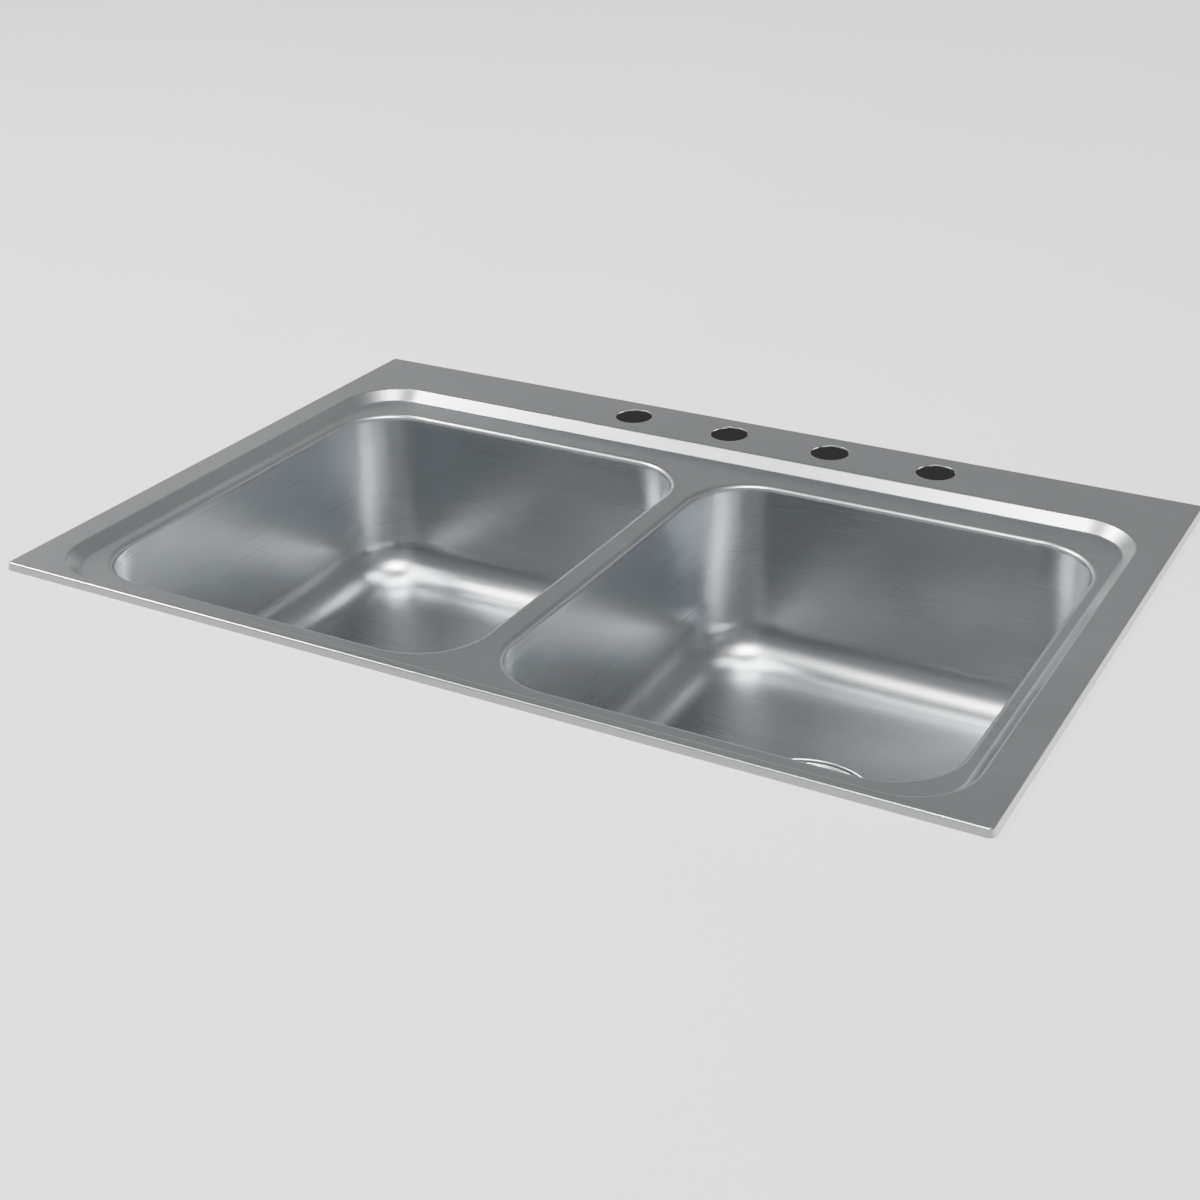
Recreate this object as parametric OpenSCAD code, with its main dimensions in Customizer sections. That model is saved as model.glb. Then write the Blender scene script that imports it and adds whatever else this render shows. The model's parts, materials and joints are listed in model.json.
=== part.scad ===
// Double bowl drop-in kitchen sink of pressed stainless steel, with its strainers and hold-down clips.
// The origin is in the middle of the rim, on the plane of the worktop. +Z is up and +Y is the back.

/* [Rim and deck] */
// Overall width of the rim
rim_w = 838.2; // [800:0.1:900]
// Overall depth of the rim, front to back
rim_d = 558.8; // [540:0.1:600]
// Thickness of the steel sheet
sheet_t = 1.2; // [0.8:0.1:1.4]
// Height of the deck above the worktop
rim_h = 6; // [5:0.5:9]
// How far the rim's edge leans outwards
rim_flare = 2.2; // [1:0.1:3]
// Corner radius at the foot of the rim's edge
rim_corner_r = 6; // [6:0.5:15]
// Bend radius along the top of the rim's edge
rim_edge_r = 1.6; // [1.6:0.1:2]
// Flat border in front of the step
front_border = 10.5; // [10.5:0.5:14]
// Flat border beside the step
side_border = 29; // [28:0.5:31]
// Flat border behind the step, where the taps stand
back_border = 71; // [66:0.5:76]
// Corner radius of the step's top edge
step_corner_r = 52; // [46:1:60]
// Depth of the ledge below the deck
step_drop = 9.5; // [7:0.5:11]
// How far the step slopes inwards
step_run = 10; // [8:0.5:10]
// Bend radius along the step's two edges
step_bend_r = 3; // [2:0.5:3]

/* [Tap holes] */
// Diameter of a tap hole
tap_hole_d = 35; // [32:0.5:38]
// Distance from one tap hole to the next
tap_pitch = 101.6; // [90:0.1:110]
// Distance of the tap holes from the back edge
tap_inset = 36.5; // [34:0.5:40]
// Place of the row's middle, to the right of the sink's middle
tap_row_x = 38.1; // [20:0.1:50.8]

/* [Bowls] */
// Distance of the bowls from the front edge
front_margin = 38.1; // [38.1:0.1:42]
// Distance of the bowls from the left and right edges
side_margin = 50.8; // [50.8:0.1:56]
// Distance of the bowls from the back edge
back_margin = 114.3; // [100:0.1:130]
// Width of the divider between the bowls
divider_w = 25.4; // [22:0.1:40]
// Corner radius of a bowl at its mouth
bowl_corner_r = 57; // [50:1:70]
// Radius of the lip that turns down into a bowl
lip_r = 5; // [3:0.5:5]
// Height of the deck's lip down to its weld with the bowl
lip_h = 8; // [6:0.5:12]
// Depth of a bowl, from the deck to the edge of its floor
bowl_h = 178; // [150:1:230]
// How far a bowl's walls lean in, from mouth to floor
wall_lean = 4; // [1:0.5:8]
// Radius between the walls and the floor
floor_r = 38; // [20:1:42]
// Fall of the floor towards the drain
floor_fall = 4; // [2:0.5:8]
// Half width of the flat square round the drain
floor_flat = 66; // [65:0.5:80]
// Thickness of the sound-deadening pad under a bowl
pad_t = 3; // [2:0.5:6]
// Radius of the pad's hole round the drain
pad_hole_r = 68; // [66:0.5:80]

/* [Drain] */
// Diameter of the hole in the bowl's floor
drain_hole_d = 89; // [89:0.5:92]
// Radius of the sunk seat round the hole, at the floor
drain_seat_r = 60.5; // [60:0.5:62]
// Depth of the sunk seat
drain_seat_drop = 3.5; // [3:0.5:6]
// How far the side of the sunk seat slopes inwards
drain_seat_run = 2; // [1.5:0.5:2]
// Diameter of the strainer's flange
flange_d = 114; // [106:0.5:115]
// Wall of the strainer's cup, and thickness of its flange
cup_t = 2; // [1.5:0.1:2.2]
// Inner radius of the strainer's cup
cup_r = 42; // [40:0.5:42]
// Depth of the cup's straight wall, below the flange
cup_h = 40; // [40:1:46]
// Depth of the cup's sloping bottom
cup_fall = 8; // [6:0.5:12]
// Inner radius of the outlet
outlet_r = 19.5; // [19.5:0.1:22]
// Length of the outlet's threaded nipple
nipple_h = 17; // [15:1:25]
// Width and height of the bars across the outlet
bar_t = 3; // [2:0.5:4]
// Thickness of the rubber gasket under the bowl
gasket_t = 3; // [2:0.5:5]
// Thickness of the friction ring
friction_t = 1; // [0.5:0.1:2]
// Height of the locknut
locknut_h = 12; // [8:1:16]
// Radial thickness of the locknut's ring
locknut_w = 7; // [6:0.5:9]
// Number of lugs on the locknut
locknut_lugs = 8; // [4:1:12]

/* [Basket] */
// Thickness of the basket's sheet
basket_t = 0.8; // [0.6:0.1:1.2]
// Radius of the basket's rim
basket_rim_r = 40.5; // [38:0.5:40.5]
// How much the basket narrows from rim to bottom
basket_taper = 5; // [3:0.5:8]
// Depth of the basket
basket_h = 33; // [28:1:33]
// Diameter of a hole in the basket's side
basket_hole_d = 5; // [3:0.5:6]
// Number of holes in one row of the basket's side
basket_holes = 16; // [8:1:18]
// Radius of the knob on the basket's post
knob_r = 10; // [8:0.5:14]
// Height of the knob
knob_h = 9; // [7:0.5:12]
// Radius of the basket's post
post_r = 3; // [2.5:0.1:4]
// Radius of the rubber stopper under the basket
stopper_r = 27; // [24:0.5:29]
// Thickness of the rubber stopper
stopper_t = 4; // [3:0.5:4]

/* [Tailpiece] */
// Outer diameter of the tailpiece
tail_d = 38.1; // [38.1:0.1:40]
// Wall of the tailpiece
tail_t = 1.2; // [0.8:0.1:1.6]
// Length of the tailpiece below its flange
tail_len = 90; // [60:1:200]
// Width of the tailpiece's flange and its washer
tail_flange_w = 4.5; // [4:0.1:5]
// Thickness of the tailpiece's flange
tail_flange_t = 1.5; // [1:0.1:2.5]
// Thickness of the washer on the flange
washer_t = 3; // [2:0.5:4]
// Radial thickness of the coupling nut
coupling_w = 5; // [4:0.5:7]
// Radial gap between the tailpiece and the hole in the coupling nut's web
coupling_gap = 1; // [0.9:0.1:2]
// Length of the coupling nut's thread
coupling_thread = 12; // [8:1:14]
// Thickness of the web that holds the flange up
coupling_web = 2.5; // [2:0.1:4]
// Number of grip ribs on the coupling nut
coupling_ribs = 12; // [6:1:20]

/* [Seal, rails and clips] */
// Distance of the rim's seal from the edge
seal_inset = 4.2; // [4:0.1:6]
// Width of the rim's seal
seal_w = 4.8; // [3:0.1:5]
// Width of a clip rail
rail_w = 11; // [10:0.5:11]
// Height of a clip rail
rail_h = 8; // [7:0.5:10]
// Thickness of a clip rail's sheet
rail_t = 1; // [0.8:0.1:1.2]
// Bend radius outside a clip rail's folds
rail_bend_r = 1.3; // [1.3:0.1:1.6]
// Width of the slot along a rail
slot_w = 6; // [5.8:0.1:7]
// How much shorter than the rim the front and side rails are, at each end
rail_end = 99.1; // [90:0.1:130]
// How much shorter than the rim the back rails are, at their outer end
back_rail_end = 50; // [45:1:60]
// Distance of the back rails from the middle of the nearest tap hole
back_rail_tap = 35; // [30:1:40]
// Distance of the back rails from the back edge
back_rail_inset = 21.4; // [18:0.1:24]
// Diameter of a clip's stud
stud_d = 5; // [4:0.5:5]
// Length of a stud below its rail
stud_l = 52; // [50:1:60]
// Length of a stud's head, along the rail
stud_head_l = 14; // [10:1:20]
// Height of a stud's head
stud_head_h = 3; // [2:0.5:4]
// Reach of a clip's toe, from its stud
toe_reach = 28; // [22:1:34]
// Width of a toe
toe_w = 11; // [9:0.5:12]
// Thickness of a toe
toe_t = 3; // [2:0.5:4]
// Height of a toe at its tip
toe_tip_h = 8; // [6:0.5:10]
// Width of a clip nut across its flats
nut_w = 8; // [7:0.5:10]
// Height of a clip nut
nut_h = 5; // [4:0.5:7]

/* [Hidden] */
$fn = 64;
// Most degrees that one flat of a bend turns through
bend_angle = 10;
// How far a bent strip laps over the flat sheet beside it, inside the same metal
lap = 1;
// How far a cut runs past what it cuts
over = 1;
// Gap between parts that pass each other
gap = 0.3;
// Radial gap of a part that turns or slides on a stud
fit = 0.08;
// Share of the way from the drain to the bowl's corner that the pad covers
pad_share = 0.85;
// Places of the rows of holes, as shares of the basket's depth
hole_row_share = [0.3, 0.55];
// Place of the holes in the basket's bottom, as a share of the bottom's radius
bottom_hole_share = 0.62;
// Place of the clips, as a share of the half length of their rail
clip_share = 0.6;
// Height of the grip left below the nut at the stud's end
stud_end = 2;

steel = "#c3c7cb";
zinc = "#aab0b4";
rubber = "#2b2b2d";
foam = "#55585a";
brass = "#b79a5b";

// Heights of the ledge, the floor's edge, the flat round the drain and the drain's seat
ledge_z = rim_h - step_drop;
weld_z = ledge_z - lip_h;
floor_z = rim_h - bowl_h;
flat_z = floor_z - floor_fall;
seat_z = flat_z - drain_seat_drop;

// Size of a bowl at its mouth, its middle, and the half size of its floor inside the corner radii
bowl_w = (rim_w - divider_w) / 2 - side_margin;
bowl_d = rim_d - front_margin - back_margin;
bowl_x = (divider_w + bowl_w) / 2;
bowl_y = (front_margin - back_margin) / 2;
floor_half = [bowl_w, bowl_d] / 2 - [bowl_corner_r, bowl_corner_r];

// Size and middle of the recess that the step surrounds
recess = [rim_w - 2 * side_border, rim_d - front_border - back_border];
recess_y = (front_border - back_border) / 2;

// Heights down the drain
flange_r = flange_d / 2;
cup_outer_r = cup_r + cup_t;
cone_z = seat_z - cup_h;
throat_z = cone_z - cup_fall;
nipple_z = throat_z - nipple_h;
gasket_z = seat_z - sheet_t - gasket_t;
friction_z = gasket_z - friction_t;
locknut_z = friction_z - locknut_h;
basket_z = seat_z - basket_h;
// The stopper's edge lies a gap above the cup's sloping bottom
stopper_z = cone_z - cup_fall * (cup_r - stopper_r) / (cup_r - outlet_r) + gap;

tail_r = tail_d / 2;
tail_flange_r = tail_r + tail_flange_w;
washer_z = nipple_z - washer_t;
tail_z = washer_z - tail_flange_t;
coupling_z = tail_z - coupling_web;

// Rails: lengths, middles, and heights of the sheet above
front_rail_l = rim_w - 2 * rail_end;
side_rail_l = rim_d - 2 * rail_end;
front_rail_y = -rim_d / 2 + (front_border + step_run + front_margin - lip_r) / 2;
side_rail_x = recess.x / 2 + step_bend_r + rail_w / 2;
back_rail_y = rim_d / 2 - back_rail_inset;
back_rails_left = [-rim_w / 2 + back_rail_end, tap_row_x - 1.5 * tap_pitch - back_rail_tap];
back_rails_right = [tap_row_x + 1.5 * tap_pitch + back_rail_tap, rim_w / 2 - back_rail_end];
back_left_rail_x = (back_rails_left[0] + back_rails_left[1]) / 2;
back_right_rail_x = (back_rails_right[0] + back_rails_right[1]) / 2;
under_deck = rim_h - sheet_t;
under_ledge = ledge_z - sheet_t;

stud_r = stud_d / 2;
// Clips: place, direction that the toe turns out to, and height of the sheet above
front_clip_x = clip_share * front_rail_l / 2;
side_clip_y = clip_share * side_rail_l / 2;
clips = [
    [-front_clip_x, front_rail_y, 270, under_ledge],
    [front_clip_x, front_rail_y, 270, under_ledge],
    [back_left_rail_x, back_rail_y, 90, under_deck],
    [back_right_rail_x, back_rail_y, 90, under_deck],
    [-side_rail_x, recess_y - side_clip_y, 180, under_deck],
    [-side_rail_x, recess_y + side_clip_y, 180, under_deck],
    [side_rail_x, recess_y - side_clip_y, 0, under_deck],
    [side_rail_x, recess_y + side_clip_y, 0, under_deck],
];

function unit(v) = v / norm(v);
function left(v) = [-v.y, v.x];
function turned(v, a) = [v.x * cos(a) - v.y * sin(a), v.x * sin(a) + v.y * cos(a)];
function backwards(list) = [for (i = [len(list) - 1:-1:0]) list[i]];
function arc(centre, r, from, to) =
    let (steps = max(1, ceil(abs(to - from) / bend_angle)))
    [for (k = [0:steps]) centre + r * [cos(from + (to - from) * k / steps),
                                       sin(from + (to - from) * k / steps)]];

// One bend of a path, on the face that lies s to the left of it. r is the bend's radius on the path.
function bend(before, corner, after, r, s) =
    let (
        u = unit(corner - before),
        v = unit(after - corner),
        way = sign(u.x * v.y - u.y * v.x),
        turn = acos(u * v),
        centre = corner - u * r * tan(turn / 2) + way * left(u) * r,
        steps = max(1, ceil(turn / bend_angle))
    )
    [for (k = [0:steps]) centre - way * (r - way * s) * turned(left(u), way * turn * k / steps)];

// A face of a bent sheet, s to the left of the path
function face(path, radii, s) =
    let (last = len(path) - 1)
    [
        path[0] + s * left(unit(path[1] - path[0])),
        for (i = [1:last - 1]) each bend(path[i - 1], path[i], path[i + 1], radii[i - 1], s),
        path[last] + s * left(unit(path[last] - path[last - 1])),
    ];

// Section of a bent sheet of thickness t, to the left of its path
module sheet(path, radii, t) {
    polygon(concat(face(path, radii, 0), backwards(face(path, radii, t))));
}

function corner_centres(w, d, r) =
    [for (s = [[1, 1], [-1, 1], [-1, -1], [1, -1]]) [s.x * (w / 2 - r), s.y * (d / 2 - r)]];

module rounded_plate(w, d, r) {
    c = corner_centres(w, d, r);
    polygon([for (k = [0:3]) each arc(c[k], r, 90 * k, 90 * k + 90)]);
}

// Sweeps a section round a rounded rectangle. The section's x is measured from the corner's centre.
module ring(w, d, r) {
    c = corner_centres(w, d, r);
    for (k = [0:3]) {
        across = (k % 2 == 0 ? w : d) / 2 - r;
        along = (k % 2 == 0 ? d : w) - 2 * r;
        translate(c[k]) rotate(90 * k) rotate_extrude(angle = 90) children();
        rotate(90 * k) translate([across, along / 2, 0]) rotate([90, 0, 0]) linear_extrude(along) children();
    }
}

module in_recess() {
    translate([0, recess_y, 0]) children();
}

module rim_edge() {
    slope = [-rim_flare, rim_h];
    foot = [rim_corner_r, 0];
    ring(rim_w, rim_d, rim_corner_r)
        intersection() {
            sheet([foot - slope, foot + slope, [0, rim_h]], [rim_edge_r], sheet_t);
            square([rim_corner_r, rim_h]);
        }
}

module border() {
    inset = 2 * (rim_corner_r - lap);
    reach = 2 * step_bend_r;
    translate([0, 0, rim_h - sheet_t]) linear_extrude(sheet_t) difference() {
        rounded_plate(rim_w - inset, rim_d - inset, lap);
        in_recess() rounded_plate(recess.x + reach, recess.y + reach, step_corner_r + step_bend_r);
    }
}

module step() {
    outer = step_corner_r;
    inner = step_corner_r - step_run;
    in_recess() ring(recess.x, recess.y, step_corner_r)
        sheet([
            [outer + step_bend_r + lap, rim_h], [outer, rim_h],
            [inner, ledge_z], [inner - step_bend_r - lap, ledge_z],
        ], [step_bend_r, step_bend_r], sheet_t);
}

module ledge() {
    inset = 2 * (step_run + step_bend_r);
    reach = lip_r + lap;
    translate([0, 0, ledge_z - sheet_t]) linear_extrude(sheet_t) difference() {
        in_recess() rounded_plate(recess.x - inset, recess.y - inset, step_corner_r - inset / 2);
        for (side = [-1, 1])
            translate([side * bowl_x, bowl_y])
                rounded_plate(bowl_w + 2 * reach, bowl_d + 2 * reach, bowl_corner_r + reach);
    }
}

module lip(side) {
    translate([side * bowl_x, bowl_y, 0]) ring(bowl_w, bowl_d, bowl_corner_r)
        sheet([
            [bowl_corner_r + lip_r + 2 * lap, ledge_z], [bowl_corner_r, ledge_z], [bowl_corner_r, weld_z],
        ], [lip_r], sheet_t);
}

module deck() {
    color(steel) difference() {
        union() {
            rim_edge();
            border();
            step();
            ledge();
            lip(-1);
            lip(1);
        }
        for (k = [0:3])
            translate([tap_row_x + (k - 1.5) * tap_pitch, rim_d / 2 - tap_inset, under_deck - over])
                cylinder(d = tap_hole_d, h = sheet_t + 2 * over);
    }
}

// Four sheets that fall from a rectangle to the flat square round the drain. share says how far out they go.
module falling_floor(share, top, t) {
    outer = [floor_flat, floor_flat] + share * (floor_half - [floor_flat, floor_flat]);
    signs = [[1, 1], [-1, 1], [-1, -1], [1, -1]];
    rise = top + share * floor_fall;
    points = [
        for (s = signs) [s.x * outer.x, s.y * outer.y, rise],
        for (s = signs) [s.x * floor_flat, s.y * floor_flat, top],
        for (s = signs) [s.x * floor_flat, s.y * floor_flat, top - t],
        for (s = signs) [s.x * outer.x, s.y * outer.y, rise - t],
    ];
    polyhedron(points, [
        [7, 6, 5, 4],
        [8, 9, 10, 11],
        for (i = [0:3]) let (j = (i + 1) % 4) each [
            [4 + i, 4 + j, j, i],
            [12 + i, 12 + j, 8 + j, 8 + i],
            [i, j, 12 + j, 12 + i],
        ],
    ]);
}

module drain_seat() {
    bend_r = drain_seat_run;
    rotate_extrude() sheet([
        [drain_seat_r + bend_r + lap, flat_z], [drain_seat_r, flat_z],
        [drain_seat_r - drain_seat_run, seat_z], [drain_hole_d / 2, seat_z],
    ], [bend_r, bend_r / 2], sheet_t);
}

module bowl() {
    straight = lip_r;
    color(steel) {
        difference() {
            union() {
                ring(bowl_w, bowl_d, bowl_corner_r)
                    sheet([
                        [bowl_corner_r, weld_z], [bowl_corner_r, weld_z - straight],
                        [bowl_corner_r - wall_lean, floor_z], [0, floor_z],
                    ], [floor_r, floor_r], sheet_t);
                falling_floor(1, flat_z, sheet_t);
            }
            translate([0, 0, flat_z - sheet_t - over])
                cylinder(r = drain_seat_r + drain_seat_run, h = sheet_t + 2 * over);
        }
        drain_seat();
    }
}

module pad() {
    color(rubber) difference() {
        falling_floor(pad_share, flat_z - sheet_t, pad_t);
        translate([0, 0, flat_z - sheet_t - pad_t - over]) cylinder(r = pad_hole_r, h = pad_t + floor_fall + 2 * over);
    }
}

module rim_seal() {
    outer = rim_corner_r - seal_inset;
    color(foam) linear_extrude(under_deck) difference() {
        rounded_plate(rim_w - 2 * seal_inset, rim_d - 2 * seal_inset, outer);
        square([rim_w, rim_d] - 2 * (seal_inset + seal_w) * [1, 1], center = true);
    }
}

// A folded channel with its slot at the bottom, along X, hanging from the height given
module rail(x, y, angle, length, top) {
    half = rail_w / 2;
    slot = slot_w / 2;
    r = rail_bend_r;
    color(steel) translate([x, y, top - rail_h]) rotate(angle) rotate([90, 0, 90])
        linear_extrude(length, center = true) sheet([
            [slot, 0], [half, 0], [half, rail_h], [-half, rail_h], [-half, 0], [-slot, 0],
        ], [r, r, r, r], rail_t);
}

module front_rail() {
    rail(0, front_rail_y, 0, front_rail_l, under_ledge);
}

module left_rail() {
    rail(-side_rail_x, recess_y, 90, side_rail_l, under_deck);
}

module right_rail() {
    rail(side_rail_x, recess_y, 90, side_rail_l, under_deck);
}

module back_left_rail() {
    rail(back_left_rail_x, back_rail_y, 0, back_rails_left[1] - back_rails_left[0], under_deck);
}

module back_right_rail() {
    rail(back_right_rail_x, back_rail_y, 0, back_rails_right[1] - back_rails_right[0], under_deck);
}

// Puts a clip's part at its stud, with +X along the turned-out toe and z = 0 at the stud's lower end
module at_clip(i) {
    c = clips[i];
    translate([c[0], c[1], c[3] - rail_h - stud_l]) rotate(c[2]) children();
}

module clip_studs() {
    head_w = rail_w - 2 * rail_t - 2 * gap;
    color(zinc) for (i = [0:len(clips) - 1]) at_clip(i) {
        cylinder(r = stud_r, h = stud_l + rail_t + stud_head_h / 2);
        translate([-head_w / 2, -stud_head_l / 2, stud_l + rail_t])
            cube([head_w, stud_head_l, stud_head_h]);
    }
}

module clip_nut(i) {
    flange_h = nut_h / 4;
    color(zinc) at_clip(i) translate([0, 0, stud_end]) difference() {
        union() {
            cylinder(d = nut_w / cos(30), h = nut_h, $fn = 6);
            translate([0, 0, nut_h - flange_h]) cylinder(r = nut_w * 0.7, h = flange_h);
        }
        translate([0, 0, -over]) cylinder(r = stud_r + fit, h = nut_h + 2 * over);
    }
}

// A clamp foot, turned in along the rail as when the sink is lowered into the worktop
module toe(i) {
    half = toe_w / 2;
    side = [
        [-half, 0], [toe_reach - toe_t, 0], [toe_reach, toe_t], [toe_reach, toe_tip_h],
        [toe_reach - toe_t / 2, toe_tip_h], [toe_reach - 2 * toe_t, toe_t], [-half, toe_t],
    ];
    color(zinc) at_clip(i) translate([0, 0, stud_end + nut_h + gap]) rotate(-90) difference() {
        intersection() {
            rotate([90, 0, 0]) linear_extrude(toe_w, center = true) polygon(side);
            linear_extrude(toe_tip_h)
                polygon(concat(arc([0, 0], half, 90, 270), [[toe_reach, -half], [toe_reach, half]]));
        }
        translate([0, 0, -over]) cylinder(r = stud_r + fit, h = toe_t + 2 * over);
        // A notch across the tip leaves two teeth to bite the worktop
        translate([toe_reach - toe_t, -half / 3, toe_tip_h - toe_t / 2])
            cube([toe_t + over, 2 * half / 3, toe_t]);
    }
}

module strainer_body() {
    boss_r = post_r + cup_t;
    bar_z = throat_z - 2 * bar_t;
    color(steel) {
        rotate_extrude() sheet([
            [flange_r, seat_z + cup_t], [cup_r, seat_z + cup_t], [cup_r, cone_z],
            [outlet_r, throat_z], [outlet_r, nipple_z],
        ], [cup_t, cup_t, cup_t], cup_t);
        difference() {
            union() {
                for (angle = [0, 90]) rotate(angle)
                    translate([-outlet_r - cup_t / 2, -bar_t / 2, bar_z]) cube([2 * outlet_r + cup_t, bar_t, bar_t]);
                translate([0, 0, bar_z]) cylinder(r = boss_r, h = bar_t);
            }
            translate([0, 0, bar_z - over]) cylinder(r = post_r + gap, h = bar_t + 2 * over);
        }
    }
}

module washer(inner, outer, z, t) {
    translate([0, 0, z]) difference() {
        cylinder(r = outer, h = t);
        translate([0, 0, -over]) cylinder(r = inner, h = t + 2 * over);
    }
}

module gasket() {
    color(rubber) washer(cup_outer_r + gap, flange_r, gasket_z, gasket_t);
}

module friction_ring() {
    color("#d8cfae") washer(cup_outer_r + gap, flange_r - cup_t, friction_z, friction_t);
}

module locknut() {
    inner = cup_outer_r + gap;
    lug = locknut_w / 2;
    color(zinc) {
        washer(inner, inner + locknut_w, locknut_z, locknut_h);
        for (k = [0:locknut_lugs - 1]) rotate(360 * k / locknut_lugs)
            translate([inner + lug, -lug, locknut_z]) cube([locknut_w, locknut_w, locknut_h / 2]);
    }
}

module tail_washer() {
    color(rubber) washer(tail_r + gap, tail_flange_r, washer_z, washer_t);
}

module tailpiece() {
    color(steel) translate([0, 0, tail_z - tail_len]) difference() {
        union() {
            cylinder(r = tail_r, h = tail_len + tail_flange_t);
            translate([0, 0, tail_len]) cylinder(r = tail_flange_r, h = tail_flange_t);
        }
        translate([0, 0, -over]) cylinder(r = tail_r - tail_t, h = tail_len + tail_flange_t + 2 * over);
    }
}

module coupling_nut() {
    inner = tail_flange_r + gap;
    thread_r = outlet_r + cup_t + gap;
    outer = inner + coupling_w;
    h = nipple_z + coupling_thread - coupling_z;
    rib = coupling_w / 2;
    color(zinc) translate([0, 0, coupling_z]) difference() {
        union() {
            cylinder(r = outer - rib / 2, h = h);
            for (k = [0:coupling_ribs - 1]) rotate(360 * k / coupling_ribs)
                translate([outer - rib, -rib / 2, 0]) cube([rib, rib, h]);
        }
        translate([0, 0, -over]) cylinder(r = tail_r + coupling_gap, h = h);
        translate([0, 0, coupling_web]) cylinder(r = inner, h = nipple_z - tail_z);
        translate([0, 0, nipple_z - coupling_z - over]) cylinder(r = thread_r, h = coupling_thread + 2 * over);
    }
}

module basket() {
    bottom_r = basket_rim_r - basket_taper;
    brim = 2 * basket_t;
    color(steel) difference() {
        rotate_extrude() sheet([
            [basket_rim_r, seat_z], [basket_rim_r - brim, seat_z],
            [bottom_r - brim, basket_z], [post_r, basket_z],
        ], [brim / 2, brim], basket_t);
        for (row = hole_row_share, k = [0:basket_holes - 1])
            rotate(360 * (k + row) / basket_holes) translate([bottom_r / 2, 0, seat_z - row * basket_h])
                rotate([0, 90, 0]) cylinder(d = basket_hole_d, h = bottom_r);
        for (k = [0:basket_holes / 2 - 1]) rotate(720 * k / basket_holes)
            translate([bottom_hole_share * bottom_r, 0, basket_z - 2 * basket_t])
                cylinder(d = basket_hole_d, h = 4 * basket_t);
    }
}

// A stem with a knob, a shoulder on the basket's bottom and a tip that drops into the boss of the bars
module basket_post() {
    shoulder_r = 2 * post_r;
    knob_z = seat_z - knob_h;
    tip_z = throat_z - 2 * bar_t;
    color(steel) rotate_extrude() polygon(concat(
        [[0, tip_z], [post_r - gap, tip_z], [post_r - gap, stopper_z - gap], [post_r, stopper_z - gap]],
        [[post_r, basket_z], [shoulder_r, basket_z], [shoulder_r, basket_z + basket_t]],
        [[post_r, basket_z + 2 * basket_t], [post_r, knob_z - knob_h / 2], [knob_r, knob_z]],
        arc([knob_r - knob_h / 3, knob_z + knob_h / 3], knob_h / 3, 0, 90),
        [[0, knob_z + knob_h / 1.5]]
    ));
}

module stopper() {
    // The rubber fills the height from the cup's slope to the basket's bottom round the post
    color(rubber) rotate_extrude() polygon([
        [post_r, stopper_z], [stopper_r, stopper_z], [stopper_r, stopper_z + stopper_t / 2],
        [stopper_r / 2, stopper_z + stopper_t], [post_r, basket_z - basket_t],
    ]);
}

module at_drain(side) {
    translate([side * bowl_x, bowl_y, 0]) children();
}

deck();
at_drain(-1) bowl();  // left_bowl
at_drain(1) bowl();  // right_bowl
at_drain(-1) pad();  // left_pad
at_drain(1) pad();  // right_pad
rim_seal();
front_rail();
left_rail();
right_rail();
back_left_rail();
back_right_rail();
clip_studs();
clip_nut(0);  // nut_front_left
clip_nut(1);  // nut_front_right
clip_nut(2);  // nut_back_left
clip_nut(3);  // nut_back_right
clip_nut(4);  // nut_left_front
clip_nut(5);  // nut_left_back
clip_nut(6);  // nut_right_front
clip_nut(7);  // nut_right_back
toe(0);  // toe_front_left
toe(1);  // toe_front_right
toe(2);  // toe_back_left
toe(3);  // toe_back_right
toe(4);  // toe_left_front
toe(5);  // toe_left_back
toe(6);  // toe_right_front
toe(7);  // toe_right_back
at_drain(-1) strainer_body();  // left_strainer_body
at_drain(-1) gasket();  // left_gasket
at_drain(-1) friction_ring();  // left_friction_ring
at_drain(-1) locknut();  // left_locknut
at_drain(-1) tail_washer();  // left_tail_washer
at_drain(-1) tailpiece();  // left_tailpiece
at_drain(-1) coupling_nut();  // left_coupling_nut
at_drain(-1) basket();  // left_basket
at_drain(-1) basket_post();  // left_basket_post
at_drain(-1) stopper();  // left_stopper
at_drain(1) strainer_body();  // right_strainer_body
at_drain(1) gasket();  // right_gasket
at_drain(1) friction_ring();  // right_friction_ring
at_drain(1) locknut();  // right_locknut
at_drain(1) tail_washer();  // right_tail_washer
at_drain(1) tailpiece();  // right_tailpiece
at_drain(1) coupling_nut();  // right_coupling_nut
at_drain(1) basket();  // right_basket
at_drain(1) basket_post();  // right_basket_post
at_drain(1) stopper();  // right_stopper
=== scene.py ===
# %% [markdown]
# # A double bowl kitchen sink in pressed stainless steel
# This lesson dresses a drop-in kitchen sink. The imported CAD model gives every piece its place, its size and
# the way it moves. Blender gives the pressed sheet its smooth bends and every surface its finish.
# We load the CAD model first, and keep its record of the parts. Nothing made here may be bigger than it.

# %% Load the frame
import json
import math

import bmesh
import bpy
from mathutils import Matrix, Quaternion, Vector


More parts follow.
